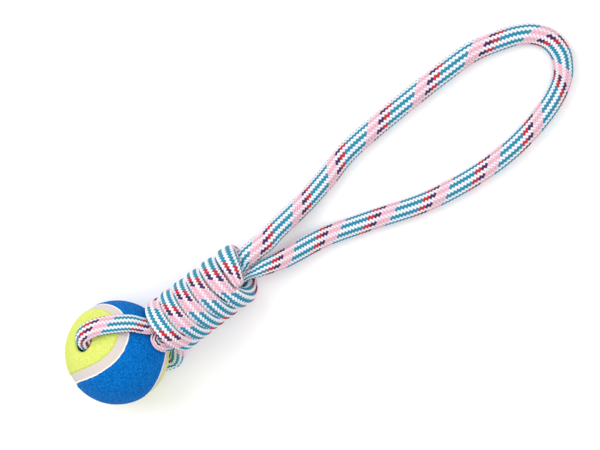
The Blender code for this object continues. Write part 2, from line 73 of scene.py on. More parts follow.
def linear(hex_colour):
    """An sRGB hex value as the linear colour that shaders take."""
    parts = [int(hex_colour[i:i + 2], 16) / 255 for i in (1, 3, 5)]
    return [*(c / 12.92 if c <= 0.04045 else ((c + 0.055) / 1.055) ** 2.4 for c in parts), 1.0]


scene.view_settings.view_transform = "Standard"
world = bpy.data.worlds.new("studio")
world.use_nodes = True
sky = world.node_tree.nodes["Background"]
sky.inputs["Color"].default_value = linear("#FFFFFF")
sky.inputs["Strength"].default_value = STUDIO_BRIGHTNESS
scene.world = world

for name, place, size, power in SOFT_LIGHTS:
    light = bpy.data.objects.new(name, bpy.data.lights.new(name, "AREA"))
    light.data.shape = "DISK"
    light.data.size = size
    light.data.energy = power
    light.location = place
    light.rotation_euler = (LIGHTS_AIM - Vector(place)).to_track_quat("-Z", "Y").to_euler()
    scene.collection.objects.link(light)

floor_mesh = bpy.data.meshes.new("studio_floor")
corners = ((-1, -1, 0), (1, -1, 0), (1, 1, 0), (-1, 1, 0))
floor_mesh.from_pydata([Vector(corner) * PAPER_REACH for corner in corners], [], [(0, 1, 2, 3)])
studio_floor = bpy.data.objects.new("studio_floor", floor_mesh)
scene.collection.objects.link(studio_floor)

# Uncoated sweep paper: matt and nearly white, so it shows nothing but the toy's soft shadow.
sweep_paper = bpy.data.materials.new("white_sweep_paper")
sweep_paper.use_nodes = True
shader = sweep_paper.node_tree.nodes["Principled BSDF"]
shader.inputs["Base Color"].default_value = linear("#FCFCFC")
shader.inputs["Roughness"].default_value = 0.9
floor_mesh.materials.append(sweep_paper)


# Hand loop
# A free loop of rope, braided from polypropylene yarn: 16 white carriers run one way round and 16
# coloured ones the other, over two and under two, which gives sawtooth bands of colour on white.

# Carriers cross in cells, and a cell's side has three parts. A lay is one full turn of a carrier,
# and lays count from a place where the red yarn is on top.
CARRIERS = 16
CELL_PARTS = 3
AROUND = 2 * CARRIERS * CELL_PARTS
YARN_RELIEF = 0.00065
YARN_BLUNTNESS = 0.6
RED_MIDDLE = 9
WHITE_AT_TIPS = (2.5, 0.5)
ROUTE_STEP = 0.0004
SEALED_END = 0.0036
SEALED_TIP = 0.02

braided_rope = bpy.data.materials.new("braided_polypropylene_rope")
braided_rope.use_nodes = True


def smooth_line(points, step):
    """Close points on a smooth curve through the chosen ones, and each one's place in that list."""
    points = [Vector(p) for p in points]
    knots = [points[0] * 2 - points[1], *points, points[-1] * 2 - points[-2]]
    line, stations = [], []
    for number, (a, b, c, d) in enumerate(zip(knots, knots[1:], knots[2:], knots[3:])):
        tb = math.sqrt((b - a).length)
        tc = tb + math.sqrt((c - b).length)
        td = tc + math.sqrt((d - c).length)
        count = max(1, round((c - b).length / step))
        for i in range(count):
            t = tb + (tc - tb) * i / count
            p = a.lerp(b, t / tb)
            q = b.lerp(c, (t - tb) / (tc - tb))
            r = c.lerp(d, (t - tc) / (td - tc))
            early, late = p.lerp(q, t / tc), q.lerp(r, (t - tb) / (td - tb))
            line.append(early.lerp(late, (t - tb) / (tc - tb)))
            stations.append(number + i / count)
    return np.array([*line, points[-1]], float), np.array([*stations, len(points) - 1.0])


def unit(vectors):
    """Rows of vectors at length 1."""
    return vectors / np.linalg.norm(vectors, axis=-1, keepdims=True)


def eased(stations, values):
    """Values given at whole stations, eased between them."""
    values = np.array(values, float)
    low = np.minimum(stations.astype(int), len(values) - 2)
    t = stations - low
    return values[low] + (values[low + 1] - values[low]) * (t * t * (3 - 2 * t))


def distances(line):
    """How far along a line each of its points is."""
    return np.concatenate([[0], np.cumsum(np.linalg.norm(np.diff(line, axis=0), axis=1))])


def raised(place, passed):
    """How high a yarn stands: rounded across its carrier, and over two and under two along it."""
    over = np.sqrt(np.maximum(np.cos(np.pi / 2 * passed), 0))
    return np.sin(np.pi * (place % 1)) ** YARN_BLUNTNESS * over


def braid_faces(rows):
    """The faces of a braid, and for each corner how many carriers it is from the start."""
    half = AROUND // 2

    def vert(row, place):
        """The number of the point in a row, where places count round the rope by cell parts."""
        return row * half + (place % AROUND) // 2

    faces, marks = [], []
    for row in range(rows + 1):
        for place in range(row % 2, AROUND, 2):
            corner = [(place, row), (place + 1, row - 1), (place + 2, row), (place + 1, row + 1)]
            corner = [(p, r) for p, r in corner if 0 <= r <= rows]
            if len(corner) > 2:
                faces.append([vert(r, p) for p, r in corner])
                marks += [(p - r, p + r) for p, r in corner]
    marks = [(m / (2 * CELL_PARTS), n / (2 * CELL_PARTS)) for m, n in marks]
    for row, order in ((0, -1), (rows, 1)):
        faces.append([vert(row, place) for place in range(row % 2, AROUND, 2)][::order])
        marks += [WHITE_AT_TIPS] * half
    return faces, marks


def braid(name, line, ups, widths, thicknesses, lays, squareness=2.0, sealed=(False, False)):
    """A rope's skin along a line, with every carrier raised where it passes over.

    The UV map counts carriers. At a sealed end the yarns are melted and drawn in to a blunt tip.
    """
    rows = round((lays[-1] - lays[0]) * AROUND)
    at = np.linspace(lays[0], lays[-1], rows + 1)
    middle = np.stack([np.interp(at, lays, line[:, k]) for k in range(3)], 1)
    up = np.stack([np.interp(at, lays, ups[:, k]) for k in range(3)], 1)
    width, thickness = np.interp(at, lays, widths), np.interp(at, lays, thicknesses)
    ahead = unit(np.gradient(middle, axis=0))
    side = unit(np.cross(ahead, up))
    up = np.cross(side, ahead)

    # A coloured carrier is on top of two of every four that it crosses, and under the other two.
    n = np.repeat(np.arange(rows + 1), AROUND // 2)
    m = np.tile(np.arange(0, AROUND, 2), rows + 1) + n % 2
    a, b = (m - n) / (2 * CELL_PARTS), (m + n) / (2 * CELL_PARTS)
    coloured, white = raised(a, b + np.floor(a) - 1), raised(b, a + np.floor(b) - 3)
    relief = YARN_RELIEF * (np.maximum(coloured, white) - 1)

    angle = 2 * np.pi * m / AROUND
    corners = abs(np.cos(angle)) ** squareness + abs(np.sin(angle)) ** squareness
    fullness = corners ** (-1 / squareness)
    along = distances(middle)
    for is_sealed, from_end in zip(sealed, (along, along[-1] - along)):
        if is_sealed:
            drawn_in = 1 - np.minimum(from_end / SEALED_END, 1)
            fullness = fullness * np.sqrt(np.maximum(1 - drawn_in**2, SEALED_TIP))[n]
    across = (width[n] / 2 + relief) * np.cos(angle) * fullness
    above = (thickness[n] / 2 + relief) * np.sin(angle) * fullness
    points = middle[n] + side[n] * across[:, None] + up[n] * above[:, None]

    faces, marks = braid_faces(rows)
    shift = round(RED_MIDDLE - CARRIERS / 4 - CARRIERS * lays[0])
    mesh = bpy.data.meshes.new(name)
    mesh.from_pydata(points.tolist(), [], faces)
    uv = mesh.uv_layers.new(name="carriers")
    marks = (np.array(marks, np.float32) + (shift, -shift)).astype(np.float32)
    uv.data.foreach_set("uv", marks.ravel())
    mesh.shade_smooth()
    mesh.materials.append(braided_rope)
    piece = bpy.data.objects.new(name, mesh)
    scene.collection.objects.link(piece)
    return piece, middle


# Points along its middle, with width and thickness, from one strand at the mouth to the other.
HAND_LOOP = (
    (0.0500, 0.0020, 0.0188, 0.0070, 0.0110),
    (0.0590, 0.0014, 0.0190, 0.0080, 0.0118),
    (0.0632, 0.0042, 0.0192, 0.0116, 0.0130),
    (0.0674, 0.0051, 0.0194, 0.0127, 0.0130),
    (0.0724, 0.0056, 0.0191, 0.0129, 0.0129),
    (0.0800, 0.0062, 0.0178, 0.0129, 0.0129),
    (0.0899, 0.0086, 0.0150, 0.0129, 0.0129),
    (0.1029, 0.0110, 0.0110, 0.0129, 0.0129),
    (0.1151, 0.0134, 0.0081, 0.0129, 0.0129),
    (0.1329, 0.0182, 0.0067, 0.0129, 0.0129),
    (0.1527, 0.0244, 0.0064, 0.0129, 0.0129),
    (0.2025, 0.0304, 0.0064, 0.0129, 0.0129),
    (0.2319, 0.0326, 0.0064, 0.0129, 0.0129),
    (0.2513, 0.0332, 0.0064, 0.0129, 0.0129),
    (0.2707, 0.0294, 0.0064, 0.0129, 0.0129),
    (0.2809, 0.0262, 0.0064, 0.0129, 0.0129),
    (0.2890, 0.0213, 0.0064, 0.0133, 0.0128),
    (0.2951, 0.0132, 0.0064, 0.0138, 0.0128),
    (0.2961, 0.0024, 0.0064, 0.0138, 0.0128),
    (0.2931, -0.0051, 0.0064, 0.0132, 0.0128),
    (0.2885, -0.0112, 0.0064, 0.0129, 0.0129),
    (0.2758, -0.0194, 0.0064, 0.0129, 0.0129),
    (0.2474, -0.0285, 0.0064, 0.0129, 0.0129),
    (0.2179, -0.0316, 0.0064, 0.0129, 0.0129),
    (0.1783, -0.0285, 0.0064, 0.0129, 0.0129),
    (0.1407, -0.0186, 0.0065, 0.0129, 0.0129),
    (0.1116, -0.0115, 0.0074, 0.0129, 0.0129),
    (0.0929, -0.0096, 0.0106, 0.0129, 0.0129),
    (0.0830, -0.0086, 0.0138, 0.0126, 0.0129),
    (0.0768, -0.0076, 0.0162, 0.0116, 0.0130),
    (0.0708, -0.0064, 0.0180, 0.0106, 0.0132),
    (0.0668, -0.0058, 0.0186, 0.0092, 0.0134),
    (0.0636, -0.0052, 0.0186, 0.0074, 0.0132),
    (0.0590, -0.0044, 0.0185, 0.0064, 0.0118),
    (0.0500, -0.0048, 0.0186, 0.0064, 0.0110),
)

# Where the red yarn comes up on top, as lengths along the loop, and where the loop can bend.
RED_ON_TOP = (
    *(0.0324, 0.0679, 0.1010, 0.1377, 0.1766, 0.2193, 0.2590),
    *(0.2899, 0.3268, 0.3654, 0.4019, 0.4381, 0.4725, 0.5056),
)
TOP_OF_BRAID = (0.0, -0.2, 1.0)

# Spun and dyed polypropylene yarn: soft and matt, with a faint sheen. Its colour is painted darker
# towards each carrier's edges, as painted shade in the crevices between carriers. 8 of the coloured
# carriers are teal, 2 red, 2 dark purple and 4 pink, and the white ones take on a little of the
# colour that they cross.
FIRST_OF_COLOUR = (0, 8, 10, 12)
YARN_COLOURS = ("#1B8DAC", "#C62638", "#42245C", "#F0B6C8")
GROUND_COLOURS = ("#EEF4FC", "#F0F0F7", "#F3EAF1", "#F5E1EA")
OVER_AND_UNDER = 4.0
# The share of light left in the painted shade at the crevices between carriers.
LIGHT_IN_CREVICES = 0.66
PLIES = 3
FIBRES_A_CARRIER = 7.0
FIBRE_RELIEF = 0.00025


def add_node(tree, kind, inputs=None, **settings):
    """A shader node with its settings. An input is a value, or the output socket that feeds it."""
    node = tree.nodes.new(kind)
    for name, value in settings.items():
        setattr(node, name, value)
    for name, value in (inputs or {}).items():
        if isinstance(value, bpy.types.NodeSocket):
            tree.links.new(value, node.inputs[name])
        else:
            node.inputs[name].default_value = value
    return node


tree = braided_rope.node_tree
shader = tree.nodes["Principled BSDF"]
carriers = add_node(tree, "ShaderNodeUVMap", uv_map="carriers")
split = add_node(tree, "ShaderNodeSeparateXYZ", {"Vector": carriers.outputs["UV"]})
coloured_number = add_node(tree, "ShaderNodeMath", {0: split.outputs["X"]}, operation="FLOOR")
white_number = add_node(tree, "ShaderNodeMath", {0: split.outputs["Y"]}, operation="FLOOR")
both = add_node(
    tree,
    "ShaderNodeMath",
    {0: coloured_number.outputs[0], 1: white_number.outputs[0]},
    operation="ADD",
)
step_of_four = add_node(
    tree, "ShaderNodeMath", {0: both.outputs[0], 1: OVER_AND_UNDER}, operation="FLOORED_MODULO"
)
colour_on_top = add_node(
    tree,
    "ShaderNodeMath",
    {0: step_of_four.outputs[0], 1: OVER_AND_UNDER / 2 - 0.5},
    operation="LESS_THAN",
)
carrier = add_node(
    tree,
    "ShaderNodeMath",
    {0: coloured_number.outputs[0], 1: float(CARRIERS)},
    operation="FLOORED_MODULO",
)
carrier_middle = add_node(tree, "ShaderNodeMath", {0: carrier.outputs[0], 1: 0.5}, operation="ADD")
carrier_place = add_node(
    tree, "ShaderNodeMath", {0: carrier_middle.outputs[0], 1: float(CARRIERS)}, operation="DIVIDE"
)


def carrier_colours(hex_colours):
    """A stepped ramp round the carriers, with one colour for each group of them."""
    ramp = add_node(tree, "ShaderNodeValToRGB", {"Fac": carrier_place.outputs[0]})
    ramp.color_ramp.interpolation = "CONSTANT"
    elements = ramp.color_ramp.elements
    for number, (first, colour) in enumerate(zip(FIRST_OF_COLOUR, hex_colours)):
        if number > 1:
            elements.new(first / CARRIERS)
        elements[number].position = first / CARRIERS
        elements[number].color = linear(colour)
    return ramp.outputs["Color"]


yarn = carrier_colours(YARN_COLOURS)
ground = carrier_colours(GROUND_COLOURS)
dyed = add_node(
    tree, "ShaderNodeMix", {0: colour_on_top.outputs[0], 6: ground, 7: yarn}, data_type="RGBA"
)

# A carrier is 2.4 mm wide, with three plies of 0.8 mm side by side. The fibres, which are 0.03 mm
# thick, are too fine to show, so they are drawn about 0.35 mm wide.
place_across = add_node(
    tree,
    "ShaderNodeMix",
    {0: colour_on_top.outputs[0], 2: split.outputs["Y"], 3: split.outputs["X"]},
)
across_carrier = add_node(tree, "ShaderNodeMath", {0: place_across.outputs[0]}, operation="FRACT")
ply_turn = add_node(
    tree, "ShaderNodeMath", {0: across_carrier.outputs[0], 1: math.pi * PLIES}, operation="MULTIPLY"
)
ply_wave = add_node(tree, "ShaderNodeMath", {0: ply_turn.outputs[0]}, operation="SINE")
ply_crown = add_node(tree, "ShaderNodeMath", {0: ply_wave.outputs[0]}, operation="ABSOLUTE")
carrier_turn = add_node(
    tree, "ShaderNodeMath", {0: across_carrier.outputs[0], 1: math.pi}, operation="MULTIPLY"
)
carrier_crown = add_node(tree, "ShaderNodeMath", {0: carrier_turn.outputs[0]}, operation="SINE")
fibres = add_node(
    tree,
    "ShaderNodeTexNoise",
    {
        "Vector": carriers.outputs["UV"],
        "Scale": FIBRES_A_CARRIER,
        "Detail": 3.0,
        "Roughness": 0.6,
    },
)
rise = add_node(
    tree,
    "ShaderNodeMath",
    {0: ply_crown.outputs[0], 1: 0.5, 2: fibres.outputs["Fac"]},
    operation="MULTIPLY_ADD",
)
relief = add_node(
    tree,
    "ShaderNodeBump",
    {"Strength": 0.5, "Distance": FIBRE_RELIEF, "Height": rise.outputs[0]},
)
tree.links.new(relief.outputs["Normal"], shader.inputs["Normal"])
# Painted shade: the yarn colour is darkened towards each carrier's edges, where the crevices
# between carriers are.
painted_crevice_shade = add_node(
    tree,
    "ShaderNodeMapRange",
    {"Value": carrier_crown.outputs[0], "To Min": LIGHT_IN_CREVICES, "To Max": 1.0},
)
shaded = add_node(
    tree,
    "ShaderNodeVectorMath",
    {0: dyed.outputs[2], "Scale": painted_crevice_shade.outputs[0]},
    operation="SCALE",
)
tree.links.new(shaded.outputs[0], shader.inputs["Base Color"])
shader.inputs["Roughness"].default_value = 0.75
shader.inputs["Specular IOR Level"].default_value = 0.3
shader.inputs["Sheen Weight"].default_value = 0.15

line, stations = smooth_line([row[:3] for row in HAND_LOOP], ROUTE_STEP)
red = np.array(RED_ON_TOP)
red = np.concatenate([[2 * red[0] - red[1]], red, [2 * red[-1] - red[-2]]])
rope_hand_loop, loop_path = braid(
    "braided_hand_loop",
    line,
    np.tile(TOP_OF_BRAID, (len(line), 1)),
    eased(stations, [row[3] for row in HAND_LOOP]),
    eased(stations, [row[4] for row in HAND_LOOP]),
    np.interp(distances(line), red, np.arange(len(red)) - 1.0),
)
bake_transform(rope_hand_loop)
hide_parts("rope_hand_loop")


# Wound grip
# The same rope, wound right-handed round its own two strands in five and a half tight turns, with
# its end tucked under the last. Each turn presses on its neighbours and fills the room they leave.

BALL_RADIUS = 0.03175
BALL_MIDDLE = Vector((-0.03213, 0, BALL_RADIUS))
GRIP_DIAMETER = 0.0375
GRIP_START = BALL_MIDDLE + Vector((BALL_RADIUS + 0.0041, -0.0040, 0.01175))
FIRST_TURN, LAST_TURN, FLOOR_TURN = -0.20, 5.34, 4.7
WOUND_PITCH = 0.0097
WOUND_THICKNESS = 0.0108
WOUND_WIDTH_MOST = 0.0138
TURNS_PRESSED_BY = 0.0017
WOUND_SQUARENESS = 3.2
GRIP_RADIUS = 0.0133
SIDE_DRIFT = 0.0006
LEAN_AT_BALL, LEAN_AT_MOUTH = 0.0056, 0.0022
LAYS_A_TURN = 3
TURN_STEP = 0.004

# By turn: how many pitches the winding has come, the share of its full size that its end keeps, and
# where the red yarn comes up on top.
ADVANCE = (
    (-1.00, -0.98),
    (-0.50, -0.48),
    (0.00, 0.00),
    (0.50, 0.53),
    (1.00, 0.98),
    (1.50, 1.52),
    (2.00, 1.94),
    (2.50, 2.50),
    (3.00, 2.93),
    (3.50, 3.50),
    (4.00, 4.06),
    (4.25, 4.30),
    (4.50, 4.78),
    (4.75, 5.26),
    (5.00, 5.38),
    (5.20, 5.40),
    (5.34, 5.26),
    (6.00, 6.60),
)
END_SIZE = ((5.10, 1.0), (5.34, 0.72))
RED_TURNS = (0.287, 1.18, 2.14, 3.12, 4.15, 5.20)


def advance(turn):
    """How many pitches the winding has come at each turn, on a smooth curve through the table."""
    places, values = np.array(ADVANCE).T
    slopes = np.gradient(values)
    slopes[1:-1] = (values[2:] - values[:-2]) / (places[2:] - places[:-2])
    i = np.clip(np.searchsorted(places, turn, side="right") - 1, 1, len(places) - 3)
    span = places[i + 1] - places[i]
    t = (turn - places[i]) / span
    leave, arrive = slopes[i] * span, slopes[i + 1] * span
    rise = values[i + 1] - values[i]
    curve = 3 * rise - 2 * leave - arrive + t * (leave + arrive - 2 * rise)
    return values[i] + t * (leave + t * curve)


def winding_point(turn):
    """The middle of the wound rope at each turn. The turns lean toward the ball at the top."""
    sink = (GRIP_START.z - GRIP_DIAMETER / 2) / FLOOR_TURN
    lean = LEAN_AT_BALL + (LEAN_AT_MOUTH - LEAN_AT_BALL) * turn / LAST_TURN
    across, above = np.cos(2 * np.pi * turn), np.sin(2 * np.pi * turn)
    x = GRIP_START.x + WOUND_PITCH * advance(turn) - lean * above
    y = GRIP_START.y + SIDE_DRIFT * turn + GRIP_RADIUS * across
    z = np.maximum(GRIP_START.z - sink * turn, GRIP_DIAMETER / 2) + GRIP_RADIUS * above
    return np.stack([x, y, z], 1)


turn = np.arange(FIRST_TURN, LAST_TURN, TURN_STEP)
winding = winding_point(turn)
before = winding[:, 0] - winding_point(turn - 1)[:, 0]
after = winding_point(turn + 1)[:, 0] - winding[:, 0]
room = np.minimum(
    np.where(turn - 1 < FIRST_TURN, after, before), np.where(turn + 1 < LAST_TURN, after, before)
)
slant = unit(np.gradient(winding, axis=0))[:, 0]
end_size = np.interp(turn, *np.array(END_SIZE).T)
width = np.minimum(room * np.sqrt(1 - slant**2) + TURNS_PRESSED_BY, WOUND_WIDTH_MOST) * end_size
outward = np.stack([0 * turn, np.cos(2 * np.pi * turn), np.sin(2 * np.pi * turn)], 1)
red_turns = np.array([RED_TURNS[0] - 1, *RED_TURNS, RED_TURNS[-1] + 1])
lays = LAYS_A_TURN * (np.interp(turn, red_turns, np.arange(len(red_turns))) - 1)
rope_winding, _ = braid(
    "braided_winding",
    winding[::-1],
    outward[::-1],
    width[::-1],
    (WOUND_THICKNESS * end_size)[::-1],
    -lays[::-1],
    WOUND_SQUARENESS,
    sealed=(True, False),
)
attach(rope_winding, "grip")
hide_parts("rope_winding", "rope_core_upper")


# Bridle
# The rope runs on from the grip over the ball, in at the front hole, out of the one underneath and
# back to the grip. It is pulled tight, so it flattens where it lies on the felt.

FRAME_MM = 0.001
LAY = 0.034
LIES_FLAT = 0.5

# Points along its middle, with width and thickness, all in mm. A point counts from the ball's
# middle along the floor, and from the floor upward. At one more point the red yarn is on top.
BRIDLE = (
    (46.8, -4.2, 40.6, 10.0, 3.8),
    (39.3, -2.6, 42.8, 8.6, 3.6),
    (33.2, -2.0, 45.5, 8.6, 3.6),
    (28.9, 0.2, 50.0, 9.8, 4.0),
    (24.7, 4.2, 54.9, 11.6, 4.6),
    (18.5, 10.4, 60.0, 12.2, 6.2),
    (10.3, 15.2, 62.2, 12.2, 7.2),
    (3.0, 18.6, 62.9, 12.0, 7.8),
    (-2.2, 20.0, 62.6, 11.6, 8.2),
    (-5.8, 20.3, 61.3, 11.2, 8.4),
    (-8.8, 19.7, 59.0, 10.8, 8.6),
    (-10.2, 17.4, 54.7, 11.6, 10.2),
    (-9.4, 13.8, 49.4, 11.4, 11.2),
    (-3.6, 5.4, 38.7, 11.0, 11.0),
    (2.4, -3.6, 27.1, 11.0, 11.0),
    (8.4, -12.5, 15.7, 10.6, 10.6),
    (11.1, -15.9, 11.6, 10.2, 9.6),
    (14.5, -19.2, 8.6, 10.0, 9.2),
    (19.8, -22.2, 7.6, 10.0, 9.2),
    (24.9, -23.4, 8.6, 10.0, 9.4),
    (29.0, -21.2, 12.2, 10.0, 9.6),
    (32.0, -17.0, 18.6, 9.6, 9.4),
)
RED_ON_BRIDLE = (22.8, 6.4, 57.2)


def from_ball(x, y, z):
    """A place in the frame, from one in mm that counts from the ball's middle and the floor."""
    return Vector((x * FRAME_MM + BALL_MIDDLE.x, y * FRAME_MM, z * FRAME_MM))


def strand_by_ball(name, rows, last, red, reverse, sealed):
    """A braided strand through rows of place, width and thickness.

    It lies flat on the ball wherever it runs along it, and not far into or away from it.
    """
    points = [from_ball(*row[:3]) for row in rows]
    sizes = [[size * FRAME_MM for size in row[3:]] for row in rows]
    if last is not None:
        points.append(Vector(last))
        sizes.append(sizes[-1])
    line, stations = smooth_line(points, ROUTE_STEP)
    ahead = unit(np.gradient(line, axis=0))
    out = unit(line - np.array(BALL_MIDDLE))
    ups = [np.array((0.0, 0.0, 1.0))]
    for i in range(1, len(line)):
        carried = ups[-1] - ahead[i] * (ups[-1] @ ahead[i])
        along_ball = abs(out[i] @ ahead[i]) < LIES_FLAT
        ups.append(out[i] if along_ball else carried / np.linalg.norm(carried))
    widths, thicknesses = (eased(stations, [size[k] for size in sizes]) for k in (0, 1))
    lays = distances(line) / LAY
    lays -= lays[np.linalg.norm(line - np.array(from_ball(*red)), axis=1).argmin()]
    order = -1 if reverse else 1
    return braid(
        name,
        line[::order],
        np.array(ups)[::order],
        widths[::order],
        thicknesses[::order],
        order * lays[::order],
        sealed=sealed,
    )[0]


rope_bridle = strand_by_ball(
    "braided_bridle", BRIDLE, winding[0], RED_ON_BRIDLE, reverse=False, sealed=(True, False)
)
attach(rope_bridle, "grip")
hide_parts("rope_ball_bridle")


# Tail
# The rope's first end comes out between the ball and the first turn, pressed flat, and bends down
# beside them. It is cut hot, which melts the yarns together, so that the braid holds.

TAIL = (
    (43.2, -6.8, 38.2, 8.4, 3.4),
    (39.2, -9.0, 40.7, 6.6, 3.4),
    (34.0, -9.8, 44.6, 6.4, 3.6),
    (28.8, -6.6, 50.0, 6.6, 3.6),
    (25.4, -5.6, 53.2, 7.0, 3.8),
    (24.9, -8.6, 52.8, 7.4, 4.0),
    (26.6, -11.8, 50.2, 7.8, 5.0),
    (30.0, -13.4, 44.8, 8.2, 6.8),
    (33.0, -13.8, 40.0, 8.4, 8.0),
    (34.8, -14.2, 35.0, 8.4, 8.2),
)
RED_ON_TAIL = (25.0, -5.4, 53.4)

rope_tail = strand_by_ball(
    "braided_tail", TAIL, None, RED_ON_TAIL, reverse=True, sealed=(True, True)
)
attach(rope_tail, "grip")
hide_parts("rope_core_lower")


# Felt panels
# Two panels of needled felt, one yellow and one blue, cut alike and glued to the rubber core. Their
# edges roll down to the seam, and into the two holes that the rope runs through.

# The holes are drawn narrower than the bore, 15 mm wide, because fuzz closes in on the rope.
HOLE_RADIUS = 0.0064
RIM_ROUND = 0.0022
BORE_AXIS = Vector((-0.380, 0.570, 0.728)).normalized()
BALL_ROLL = Euler([math.radians(a) for a in (-47.2, 9.2, -98.9)]).to_matrix()
SEAM_WIDTH = 0.0063
SEAM_WAVE_SHARE = 0.2175
SEAM_STEPS = 2400
GRID_ROWS, GRID_COLUMNS = 210, 480
WALL_ROWS = 8
EDGE_WIDTH, EDGE_DROP = 0.0016, 0.0010

# Waves of 2 mm along the cut edges, and tufts of 0.7 and 0.26 mm, are counted in a ball's radius.
EDGE_UNEVEN = 0.0004
EDGE_WAVES = 16
FUZZ_DEPTH = 0.00032
TUFTS, SMALL_TUFTS = 45, 120
SMALL_TUFTS_SHARE = 0.6

seam_turn = np.linspace(0, 2 * np.pi, SEAM_STEPS, endpoint=False)
small, large = SEAM_WAVE_SHARE, 1 - SEAM_WAVE_SHARE
seam_line = unit(
    np.stack(
        [
            large * np.cos(seam_turn) + small * np.cos(3 * seam_turn),
            large * np.sin(seam_turn) - small * np.sin(3 * seam_turn),
            2 * math.sqrt(large * small) * np.sin(2 * seam_turn),
        ],
        1,
    )
    @ np.array(BALL_ROLL).T
)
seam_ahead = unit(np.roll(seam_line, -1, axis=0) - np.roll(seam_line, 1, axis=0))
seam_side = np.cross(seam_ahead, seam_line)
seam_tree = kdtree.KDTree(SEAM_STEPS)
for number, place in enumerate(seam_line):
    seam_tree.insert(place, number)
seam_tree.balance()

hole_angle = math.asin((HOLE_RADIUS + RIM_ROUND) / (BALL_RADIUS - RIM_ROUND))
pole_turn = np.array(Vector((0, 0, 1)).rotation_difference(BORE_AXIS).to_matrix())
polar = np.linspace(hole_angle, np.pi - hole_angle, GRID_ROWS + 1)
round_axis = np.linspace(0, 2 * np.pi, GRID_COLUMNS, endpoint=False)
directions = (
    np.stack(
        [
            np.outer(np.sin(polar), np.cos(round_axis)),
            np.outer(np.sin(polar), np.sin(round_axis)),
            np.outer(np.cos(polar), np.ones(GRID_COLUMNS)),
        ],
        2,
    ).reshape(-1, 3)
    @ pole_turn.T
)
nearest = np.array([seam_tree.find(place)[1] for place in directions.tolist()])
which_side = np.einsum("ij,ij->i", directions - seam_line[nearest], seam_side[nearest])
away = np.arccos(np.clip(np.einsum("ij,ij->i", directions, seam_line[nearest]), -1, 1))
from_seam = np.copysign(away * BALL_RADIUS, which_side)


def waves(side):
    """How the felt's cut edge on one side wanders along the seam, from -1 to 1."""
    start = Vector((side, 0, 0))
    return np.array([noise.noise(Vector(place) * EDGE_WAVES + start) for place in seam_line])


edge_half = {side: SEAM_WIDTH / 2 + EDGE_UNEVEN * waves(side) for side in (-1, 1)}
yellow_end = np.array(BALL_ROLL @ Vector((0, 0, -1)))
_, at_yellow, _ = seam_tree.find(yellow_end)
yellow_side = math.copysign(1, (yellow_end - seam_line[at_yellow]) @ seam_side[at_yellow])


def felt_panel(name, side, look):
    """The grid on one side of the seam, where points past the panel's edge are drawn back to it."""
    inside = from_seam * side - edge_half[side][nearest]
    edge_angle = edge_half[side][:, None] / BALL_RADIUS
    edge = seam_line * np.cos(edge_angle) + seam_side * side * np.sin(edge_angle)
    place = np.where((inside < 0)[:, None], edge[nearest], directions)
    to_edge = np.maximum(inside, 0)
    drop = EDGE_DROP * np.maximum(1 - to_edge / EDGE_WIDTH, 0) ** 2
    fuzz = [
        noise.noise(Vector(p) * TUFTS) + SMALL_TUFTS_SHARE * noise.noise(Vector(p) * SMALL_TUFTS)
        for p in place.tolist()
    ]
    radius = BALL_RADIUS - drop - FUZZ_DEPTH * (0.5 + 0.5 * np.clip(fuzz, -1, 1))
    grid = (place * radius[:, None]).reshape(GRID_ROWS + 1, GRID_COLUMNS, 3)

    axis = np.array(BORE_AXIS)
    walls = []
    for row, end in ((0, 1), (GRID_ROWS, -1)):
        from_axis = unit(grid[row] - (grid[row] @ axis)[:, None] * axis)
        roll = np.linspace(-np.pi / 2, hole_angle, WALL_ROWS, endpoint=False)[:, None, None]
        in_rim = (BALL_RADIUS - RIM_ROUND) * math.sin(hole_angle) + RIM_ROUND * np.sin(roll)
        up_rim = (BALL_RADIUS - RIM_ROUND) * math.cos(hole_angle) + RIM_ROUND * np.cos(roll)
        walls.append(from_axis * in_rim + end * up_rim * axis)
    grid = np.concatenate([walls[0], grid, walls[1][::-1]])

    kept = (inside > 0).reshape(GRID_ROWS + 1, GRID_COLUMNS)
    kept = np.concatenate([kept[:1].repeat(WALL_ROWS, 0), kept, kept[-1:].repeat(WALL_ROWS, 0)])
    used = kept | np.roll(kept, -1, axis=1)
    used = used[1:] | used[:-1]
    row, column = np.nonzero(used)
    ahead = (column + 1) % GRID_COLUMNS
    corners = np.stack(
        [
            row * GRID_COLUMNS + column,
            (row + 1) * GRID_COLUMNS + column,
            (row + 1) * GRID_COLUMNS + ahead,
            row * GRID_COLUMNS + ahead,
        ],
        1,
    )
    numbers, faces = np.unique(corners, return_inverse=True)
    points = grid.reshape(-1, 3)[numbers] + BALL_MIDDLE

    mesh = bpy.data.meshes.new(name)
    mesh.from_pydata(points.tolist(), [], faces.reshape(-1, 4).tolist())
    mesh.shade_smooth()
    mesh.materials.append(look)
    panel = bpy.data.objects.new(name, mesh)
    scene.collection.objects.link(panel)
    return panel


# Needled felt of wool and nylon: matt and mottled, deeper in colour between its tufts, which are
# 1.1 mm apart, with a faint pale sheen. Its fibres, 0.02 mm thick, would be too fine to show, so
# they are drawn 0.4 mm apart.
FELT_TUFTS_A_METRE = 900.0
DARK_TUFT, PALE_TUFT = 0.44, 0.585
FELT_FIBRES_A_METRE = 2600.0
FELT_FIBRE_RELIEF = 0.0003


